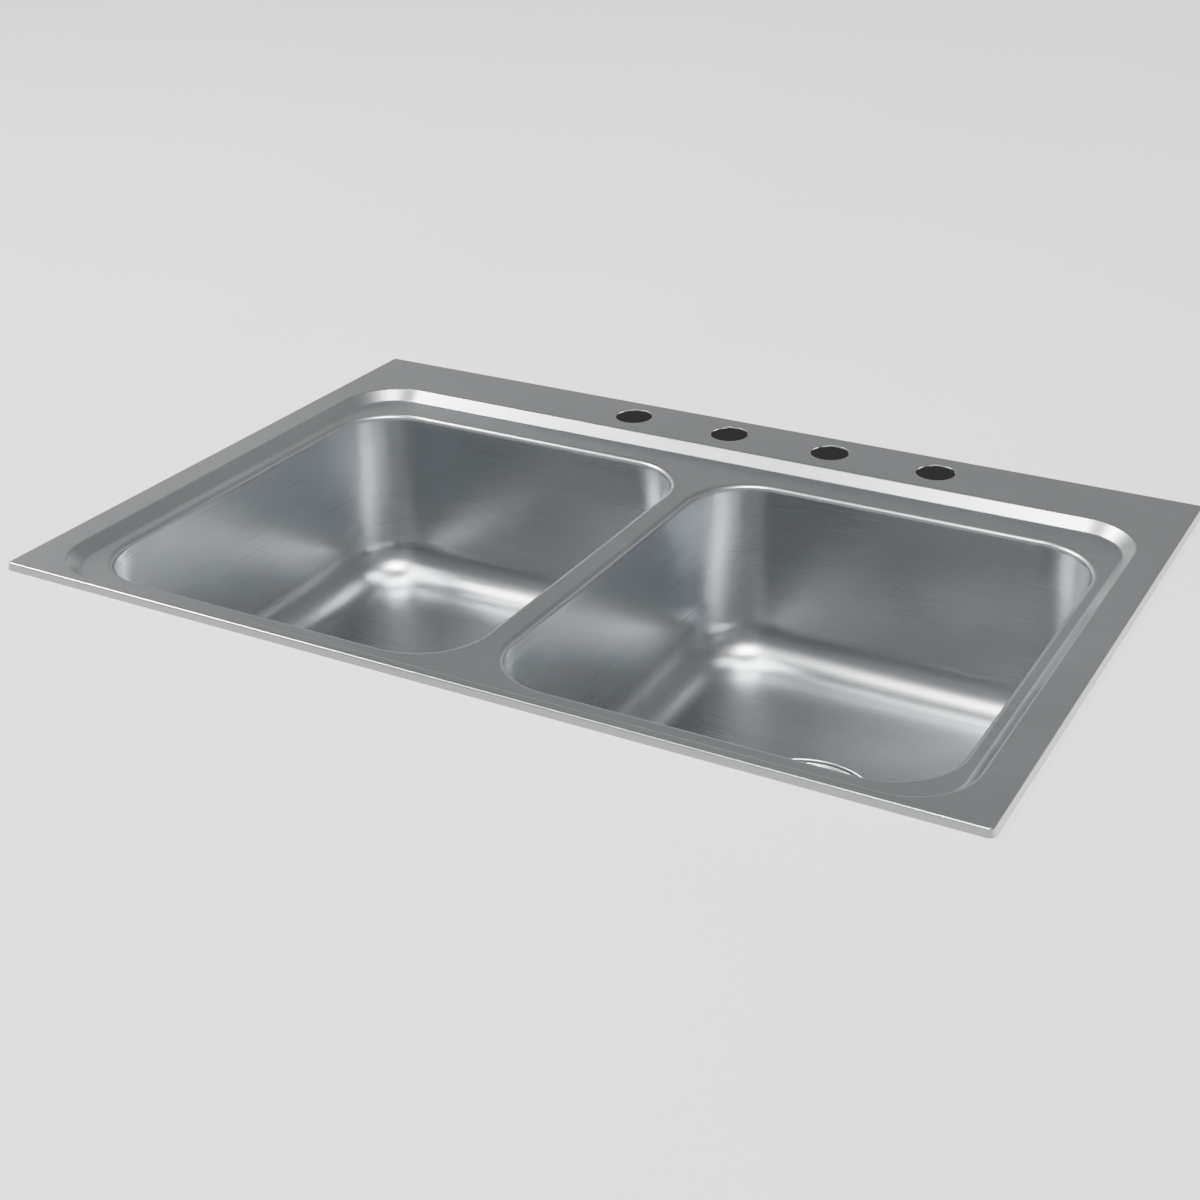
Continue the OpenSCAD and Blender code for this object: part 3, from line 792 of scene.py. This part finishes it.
# %% Rolled rim
roll = [(39.1, -180.1, 0.5), (40.5, -180.1, 0.5), (40.5, -178.9, 0.55), (39.1, -178.9, 0.55)]
under_both(turned("rolled_rim", roll), "{}_basket_set", "strainer_steel")

# %% [markdown]
# ## Hold-down clips
# A clip is a threaded stud whose flat head slides in a rail under the deck, a clamp foot that turns out under
# the worktop, and a flanged nut that pulls it tight. The foot and the nut are cut with Boolean modifiers, as
# a maker would mill them: the nut is a hexagon cut by a turned shape, which leaves the curved marks of a real
# chamfer on its flats. The foot rests against the sink while the sink is lowered in, so it is drawn that way.

# %% Clip parts
STUD_LENGTH, THREAD_CORE, THREAD_CREST, PITCH = 52, 2.12, 2.5, 0.8
NUT_BORE, ACROSS_FLATS = 2.58, 8
NUT_LOW, NUT_HIGH, TOE_LOW = 2, 7, 7.3
TOE_WIDTH, TOE_SHEET, TOE_END = 11, 3, -5.5


def clean(piece):
    """Merges points that lie closer than a hair, and drops faces without area."""
    hair = 0.02 * MM
    edit(piece, "VERT")
    select_all()
    bpy.ops.mesh.remove_doubles(threshold=hair)
    bpy.ops.mesh.dissolve_degenerate(threshold=hair)
    let_go()
    return piece


def cut(piece, other, operation):
    """Cuts a piece with another one, or keeps what both share, and removes the other one."""
    modify(piece, "BOOLEAN", object=other, operation=operation, solver="EXACT")
    bpy.data.objects.remove(other)
    return clean(piece)


def stud():
    rod = turned("rod", [(0, 0), (THREAD_CORE, 0, 0.5), (THREAD_CORE, 53.5), (0, 53.5)], steps=32)
    ridge = thread("stud_thread", THREAD_CORE, THREAD_CREST, PITCH, 0.5, STUD_LENGTH, 24)
    head = block("head", (-4.2, -7, 53), (4.2, 7, 56), 0.6)
    return join("stud", rod, ridge, head)


def nut():
    let_go()
    across_corners = ACROSS_FLATS / math.cos(math.radians(30))
    height = NUT_HIGH - NUT_LOW
    middle = (0, 0, (NUT_LOW + height / 2) * MM)
    bpy.ops.mesh.primitive_cylinder_add(
        vertices=6, radius=across_corners / 2 * MM, depth=height * MM, location=middle
    )
    hexagon = bpy.context.object
    settle()
    cone = [(0, NUT_LOW - 0.1), (3.64, NUT_LOW - 0.1), (5.2, NUT_LOW + 0.86), (5.2, 8), (0, 8)]
    cut(hexagon, turned("chamfer", cone), "INTERSECT")
    flange = turned("flange", [(0, 5.4), (3.6, 5.4, 0.3), (5.6, 6.1, 0.2), (5.6, 7, 0.3), (0, 7)], steps=64)
    cut(hexagon, flange, "UNION")
    hole = [(0, 0), (NUT_BORE, 0), (NUT_BORE, 9), (0, 9)]
    return cut(hexagon, turned("bore", hole, steps=48), "DIFFERENCE")


def toe():
    side = [(TOE_END, 0), (25, 0), (28, 3), (28, 8), (26.5, 8), (22, TOE_SHEET, 2), (TOE_END, TOE_SHEET)]
    foot = bar("foot", side, TOE_WIDTH)

    def upright_end(edge):
        return edge.calc_length() < 4 * MM and all(abs(v.co.x - TOE_END * MM) < 1e-6 for v in edge.verts)

    pick(foot, "EDGE", upright_end)
    bpy.ops.mesh.bevel(offset=5.4 * MM, segments=10, profile=0.5, affect="EDGES", clamp_overlap=False)
    outward()
    soft = {"width": 0.4 * MM, "segments": 3, "limit_method": "ANGLE", "angle_limit": math.radians(40)}
    modify(foot, "BEVEL", use_clamp_overlap=False, **soft)
    cut(foot, block("notch", (25, -1.83, 6.5), (29, 1.83, 9), 0.3), "DIFFERENCE")
    # The bore widens towards both faces, so that its edges are broken by 0.4 mm
    wide = NUT_BORE + 1.4
    bore = [(0, -1), (wide, -1), (NUT_BORE, 0.4), (NUT_BORE, 2.6), (wide, 4), (0, 4)]
    return cut(foot, turned("bore", bore, steps=48), "DIFFERENCE")


shapes = {"stud": stud(), "nut": nut(), "toe": toe()}
for name, shape in shapes.items():
    smooth(shape, 30)
    print(name, "has", len(shape.data.polygons), "faces")

# %% [markdown]
# ## Placing the clips
# Two clips stand in the front rail, two in each side rail and one in each back rail. The angle is the side
# that the foot turns out to. Each nut and each foot rides on its own body, so that it can move.

# %% Clips in place
CLIPS = {
    # clip: where its stud stands, and the angle
    "front_left": (-192, -252.6, -64.7, 270),
    "front_right": (192, -252.6, -64.7, 270),
    "back_left": (-259.2, 258, -55.2, 90),
    "back_right": (297.3, 258, -55.2, 90),
    "left_front": (-398.6, -138.43, -55.2, 180),
    "left_back": (-398.6, 77.93, -55.2, 180),
    "right_front": (398.6, -138.43, -55.2, 0),
    "right_back": (398.6, 77.93, -55.2, 0),
}
studs = []
for clip, (x, y, z, out) in CLIPS.items():
    studs.append(copy_to(shapes["stud"], "stud_" + clip, x, y, z, out))
    for kind, shape_z, turn in (("nut", z, out), ("toe", z + TOE_LOW, out - 90)):
        piece = copy_to(shapes[kind], f"{kind}_{clip}_finished", x, y, shape_z, turn)
        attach(piece, f"clip_{kind}_{clip}")
        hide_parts(f"{kind}_{clip}")
        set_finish(piece, "zinc_plate")
stud_set = join("threaded_studs", *studs)
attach(stud_set, "root")
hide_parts("clip_studs")
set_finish(stud_set, "zinc_plate")
for shape in shapes.values():
    bpy.data.objects.remove(shape)
print(len(CLIPS), "clips placed")

# %% [markdown]
# ## Clip rails
# A rail is galvanised strip folded into a channel with two lips. Folding leaves round corners outside and
# nearly sharp ones inside. The section is drawn once for each rail and extruded along it.

# %% Rails
RAILS = {
    # rail: its middle, its length and its turn
    "front_rail": (0, -252.6, -12.7, 640, 90),
    "left_rail": (-398.6, -30.25, -3.2, 360.6, 0),
    "right_rail": (398.6, -30.25, -3.2, 360.6, 0),
    "back_left_rail": (-259.2, 258, -3.2, 219.8, 90),
    "back_right_rail": (297.3, 258, -3.2, 143.6, 90),
}
CHANNEL = [
    (-5.5, 8, 1.3), (5.5, 8, 1.3), (5.5, 0, 1.3), (3, 0, 0.3), (3, 1, 0.3), (4.5, 1, 0.4), (4.5, 7, 0.4),
    (-4.5, 7, 0.4), (-4.5, 1, 0.4), (-3, 1, 0.3), (-3, 0, 0.3), (-5.5, 0, 1.3),
]  # fmt: skip
for name, (x, y, z, length, turn) in RAILS.items():
    channel = bar("channel", CHANNEL, length)
    outward()
    let_go()
    rail = copy_to(channel, f"folded_{name}", x, y, z, turn)
    bpy.data.objects.remove(channel)
    smooth(rail, 30)
    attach(rail, "root")
    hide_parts(name)
    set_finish(rail, "rail_steel")
    print(rail.name, "has", len(rail.data.polygons), "faces")

# %% [markdown]
# ## The weld round each bowl
# Deck and bowl are two pressings, welded together below the lip. Inside, the joint is ground until it
# disappears. Outside it stays as a thin bead. The bead is the bowl's outline made into a curve with a round
# bevel, because a curve keeps the same thickness all round the corners.

# %% Weld beads
for word, side in SIDES.items():
    bead = outline_beyond(f"{word}_weld", BOWL, BOWL_CORNER, SHEET, (side * BOWL_X, BOWL_Y, WELD))
    bpy.ops.mesh.delete(type="ONLY_FACE")
    bpy.ops.object.mode_set(mode="OBJECT")
    bpy.ops.object.convert(target="CURVE")
    bead.data.bevel_depth = 0.6 * MM
    bead.data.bevel_resolution = 2
    bpy.ops.object.convert(target="MESH")
    smooth(bead, 60)
    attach(bead, "root")
    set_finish(bead, "satin_steel")
    print(bead.name, "has", len(bead.data.polygons), "faces")

# %% [markdown]
# ## Finishes of the small parts
# Each finish starts from what the part is made of and how it was made. A pattern that belongs to turning goes
# round the drain's middle. Both drains lie at the same distance from the sink's middle, so the absolute value
# of X centres one pattern on both of them.

# %% Metals
def drain_radius(tree, place):
    """The distance of a point from the middle of its drain."""
    parts = node(tree, "SeparateXYZ", {"Vector": place.outputs["Object"]})
    mirrored = node(tree, "Math", {0: parts.outputs["X"]}, operation="ABSOLUTE")
    x = node(tree, "Math", {0: mirrored, 1: BOWL_X * MM}, operation="SUBTRACT")
    y = node(tree, "Math", {0: parts.outputs["Y"], 1: BOWL_Y * MM}, operation="SUBTRACT")
    flat = node(tree, "CombineXYZ", {"X": x, "Y": y})
    length = node(tree, "VectorMath", {0: flat}, operation="LENGTH")
    return length.outputs["Value"], parts.outputs["Z"]


def surface(tree, tone, colours, wear, roughness, bump=None, spread=(0.3, 0.7)):
    """One pattern takes the colour from one tone to another, and one does so with the roughness."""
    tones = list(zip(spread, map(hex_colour, colours)))
    made = {
        "Base Color": node(tree, "ValToRGB", {"Fac": tone}, tones),
        "Roughness": node(tree, "ValToRGB", {"Fac": wear}, list(zip(spread, roughness))),
    }
    return {**made, "Normal": bump} if bump else made


def polished(tree, place):
    # Polishing on a lathe leaves rings 0.4 mm apart, which open a highlight into a thin fan
    radius, height = drain_radius(tree, place)
    rings = node(tree, "CombineXYZ", {"X": radius, "Y": height})
    marks = node(tree, "TexNoise", {"Vector": rings, "Scale": 1 / (0.4 * MM), "Detail": 2.0})
    cloud = node(tree, "TexNoise", {"Vector": place.outputs["Object"], "Scale": 40.0, "Detail": 3.0})
    bump = node(tree, "Bump", {"Height": marks, "Strength": 0.08, "Distance": 0.03 * MM})
    return surface(tree, cloud, ("#cdcfd0", "#d8d9da"), marks, (0.14, 0.24), bump)


def spangled(tree, place):
    # Hot-dip zinc freezes into flat crystals about 6 mm across, each a slightly different grey
    crystals = node(tree, "TexVoronoi", {"Vector": place.outputs["Object"], "Scale": 1 / (6 * MM)})
    shade = node(tree, "SeparateColor", {"Color": crystals.outputs["Color"]})
    pores = {"Vector": place.outputs["Object"], "Scale": 1 / (0.7 * MM), "Detail": 2.0}
    grain = node(tree, "TexNoise", pores)
    bump = node(tree, "Bump", {"Height": grain, "Strength": 0.15, "Distance": 0.05 * MM})
    red, green = shade.outputs["Red"], shade.outputs["Green"]
    return surface(tree, red, ("#999da0", "#b4b8ba"), green, (0.32, 0.48), bump, spread=(0, 1))


def plated(tree, place):
    # Bright zinc plating is thin and follows the steel. Its faint blue cast varies over a few millimetres
    hue = node(tree, "TexNoise", {"Vector": place.outputs["Object"], "Scale": 1 / (5 * MM), "Detail": 3.0})
    pores = {"Vector": place.outputs["Object"], "Scale": 1 / (0.5 * MM), "Detail": 2.0}
    grain = node(tree, "TexNoise", pores)
    bump = node(tree, "Bump", {"Height": grain, "Strength": 0.1, "Distance": 0.03 * MM})
    return surface(tree, hue, ("#aeb6bf", "#c4c6c4"), grain, (0.24, 0.36), bump)


def cast(tree, place):
    # A die casting keeps the fine pitted skin of its mould, with pits about 0.8 mm apart
    pits = node(tree, "TexNoise", {"Vector": place.outputs["Object"], "Scale": 1 / (0.8 * MM), "Detail": 3.0})
    flow = node(tree, "TexNoise", {"Vector": place.outputs["Object"], "Scale": 1 / (12 * MM), "Detail": 2.0})
    bump = node(tree, "Bump", {"Height": pits, "Strength": 0.25, "Distance": 0.08 * MM})
    return surface(tree, flow, ("#8f9294", "#a6a8a9"), pits, (0.38, 0.52), bump)


def plated_bright(tree, place):
    # Chrome over brass is nearly a mirror, with a breath of haze where hands have held it
    haze = node(tree, "TexNoise", {"Vector": place.outputs["Object"], "Scale": 1 / (25 * MM), "Detail": 4.0})
    return surface(tree, haze, ("#d3d6d8", "#dfe1e2"), haze, (0.05, 0.11))


METAL = {"Metallic": 1.0}
finishes["strainer_steel"] = finish_material("polished_stainless_steel", METAL, polished)
finishes["rail_steel"] = finish_material("galvanised_steel", METAL, spangled)
finishes["zinc_plate"] = finish_material("bright_zinc_plated_steel", METAL, plated)
finishes["cast_zinc"] = finish_material("die_cast_zinc", METAL, cast)
finishes["chrome_plate"] = finish_material("chrome_plated_brass", METAL, plated_bright)
print("metals:", [m.name for m in finishes.values()])

# %% [markdown]
# ## Rubber, foam and card
# These don't shine, so their look comes from a grain that breaks up the light. Rubber is moulded against
# ground steel and gets a fine even grain. Closed-cell foam shows cut cells. Card shows its pressed fibres.

# %% Soft materials
def grain(low, high, size, strength, depth, kind="TexNoise", stretch=(1, 1, 1)):
    """A two-tone grain with a bump of the same pattern. Size and depth are in millimetres."""

    def build(tree, place):
        lay = node(tree, "Mapping", {"Vector": place.outputs["Object"], "Scale": stretch})
        speck = node(tree, kind, {"Vector": lay, "Scale": 1 / (size * MM)})
        tones = [(0.3, hex_colour(low)), (0.7, hex_colour(high))]
        return {
            "Base Color": node(tree, "ValToRGB", {"Fac": speck}, tones),
            "Normal": node(tree, "Bump", {"Height": speck, "Strength": strength, "Distance": depth * MM}),
        }

    return build


FIBRES = grain("#b3a079", "#cdbd97", 0.6, 0.3, 0.1, stretch=(1, 0.2, 1))
SOFT = {
    # slot: name, roughness, IOR, grain
    "black_rubber": ("moulded_nitrile_rubber", 0.55, 1.52, grain("#141516", "#1d1e20", 0.5, 0.2, 0.05)),
    "pad_rubber": ("sound_deadening_rubber", 0.8, 1.52, grain("#303336", "#474a4e", 1.5, 0.5, 0.3)),
    "seal_foam": ("closed_cell_foam", 0.9, 1.45, grain("#36383a", "#55575a", 0.8, 0.6, 0.3, "TexVoronoi")),
    "fibre": ("pressed_fibre_card", 0.85, 1.5, FIBRES),
}
for slot, (name, roughness, ior, build) in SOFT.items():
    finishes[slot] = finish_material(name, {"Roughness": roughness, "IOR": ior}, build)
print("soft materials:", [finishes[slot].name for slot in SOFT])

# %% [markdown]
# ## Dressing every piece
# The record names a material slot for each CAD node, and each new piece carries the name of its slot. So one
# loop dresses them all: a new piece gets its material, and a CAD node gets it in its own material slots.

# %% Materials on the pieces
slot_of = {part["node"]: part["material_slot"] for part in frame["record"]["subparts"]}
for name, piece in nodes.items():
    for entry in piece.material_slots:
        entry.material = finishes[slot_of[name]]
new_pieces = [o for o in bpy.data.objects if o.type == "MESH" and "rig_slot" in o]
for piece in new_pieces:
    piece.data.materials.clear()
    piece.data.materials.append(finishes[piece["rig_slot"]])
print("dressed", len(nodes), "CAD nodes and", len(new_pieces), "new pieces")

# %% [markdown]
# ## Stage
# The drawing shows nothing below the rim, because the sink hangs in a worktop. So the pale floor is the
# worktop's plane, with a cut-out that the rim just covers, which leaves the seal in sight from below. The
# worktop glows a little, like a photographer's light table, and so stays evenly pale into the distance.

# %% Stage
def worktop():
    # The cut-out lies a little inside the foot of the rim
    inside = 2.1
    hole = rounded_outline("cut_out", RIM[0] - 2 * inside, RIM[1] - 2 * inside, 4, (0, 0, 0))
    bpy.ops.mesh.delete(type="ONLY_FACE")
    let_go()
    bpy.ops.mesh.primitive_plane_add(size=24)
    floor = bpy.context.object
    edit(floor, "FACE")
    select_all()
    bpy.ops.mesh.delete(type="ONLY_FACE")
    floor = join("worktop", floor, hole)
    pick(floor, "EDGE", lambda e: True)
    bpy.ops.mesh.fill(use_beauty=True)
    bpy.ops.object.mode_set(mode="OBJECT")
    return floor


def floor_grain(tree, place):
    dust = node(tree, "TexNoise", {"Vector": place.outputs["Object"], "Scale": 2.0, "Detail": 3.0})
    tones = [(0.3, hex_colour("#9a9a9a")), (0.7, hex_colour("#a2a2a2"))]
    return {"Base Color": node(tree, "ValToRGB", {"Fac": dust}, tones)}


GLOW = {"Emission Color": hex_colour("#ffffff"), "Emission Strength": 0.75}
stage = worktop()
stage.data.materials.append(finish_material("pale_worktop", {"Roughness": 0.7, **GLOW}, floor_grain))
print("the worktop has", len(stage.data.polygons), "faces")

# %% [markdown]
# ## Lights
# Steel shows what it mirrors. So the two soft boxes above stand aside of where the camera looks down on the
# deck, or its flats would turn white, and the world is dark overhead and bright only near the horizon. Four
# boxes light the underside, two of them weak ones that open up the dark sides of the bowls. The camera can't
# see the boxes.

# %% Soft boxes and world
SOFT_BOXES = {
    # name: place, width and depth, watts
    "left_box": ((-2.2, -0.2, 2.1), (1.0, 1.0), 60),
    "top_box": ((0.3, -0.9, 2.3), (1.2, 0.9), 45),
    "under_left_box": ((-1.2, -1.1, -1.3), (1.2, 1.2), 22),
    "under_right_box": ((1.3, 0.9, -1.1), (1.2, 1.2), 14),
    "under_front_box": ((0.7, -1.6, -1.0), (1.2, 0.8), 5),
    "under_back_box": ((-0.7, 1.6, -1.0), (1.2, 0.8), 5),
}
for name, (place, size, watts) in SOFT_BOXES.items():
    lamp = bpy.data.lights.new(name, "AREA")
    lamp.shape, lamp.size, lamp.size_y = "RECTANGLE", *size
    lamp.energy = watts
    box = bpy.data.objects.new(name, lamp)
    bpy.context.scene.collection.objects.link(box)
    box.location = place
    box.visible_camera = False
    # The boxes above look at the deck, and those below at the middle of the bowls' height
    aim = Vector((0, 0, 0 if place[2] > 0 else -0.15))
    box.rotation_mode = "QUATERNION"
    box.rotation_quaternion = (aim - box.location).to_track_quat("-Z", "Y")
world = bpy.data.worlds.new("studio")
bpy.context.scene.world = world
world.use_nodes = True
sky = world.node_tree
direction = node(sky, "TexCoord", {})
height = node(sky, "SeparateXYZ", {"Vector": direction.outputs["Generated"]})
share = node(sky, "Math", {0: height.outputs["Z"], 1: 0.5, 2: 0.5}, operation="MULTIPLY_ADD")
# From straight down over the horizon at 0.5 to straight up
SHADES = [(0.0, 0.03), (0.46, 0.06), (0.5, 0.8), (0.56, 0.6), (0.7, 0.3), (0.88, 0.25), (1.0, 0.35)]
backdrop = next(n for n in sky.nodes if n.type == "BACKGROUND")
feed(sky, backdrop, {"Color": node(sky, "ValToRGB", {"Fac": share}, SHADES), "Strength": 0.8})
film = bpy.context.scene.view_settings
film.view_transform = "AgX"
film.look = "AgX - Medium High Contrast"
film.exposure = 0.3
print(len(SOFT_BOXES), "soft boxes and a world of", len(SHADES), "shades")

# %% Let go of the selection
let_go()
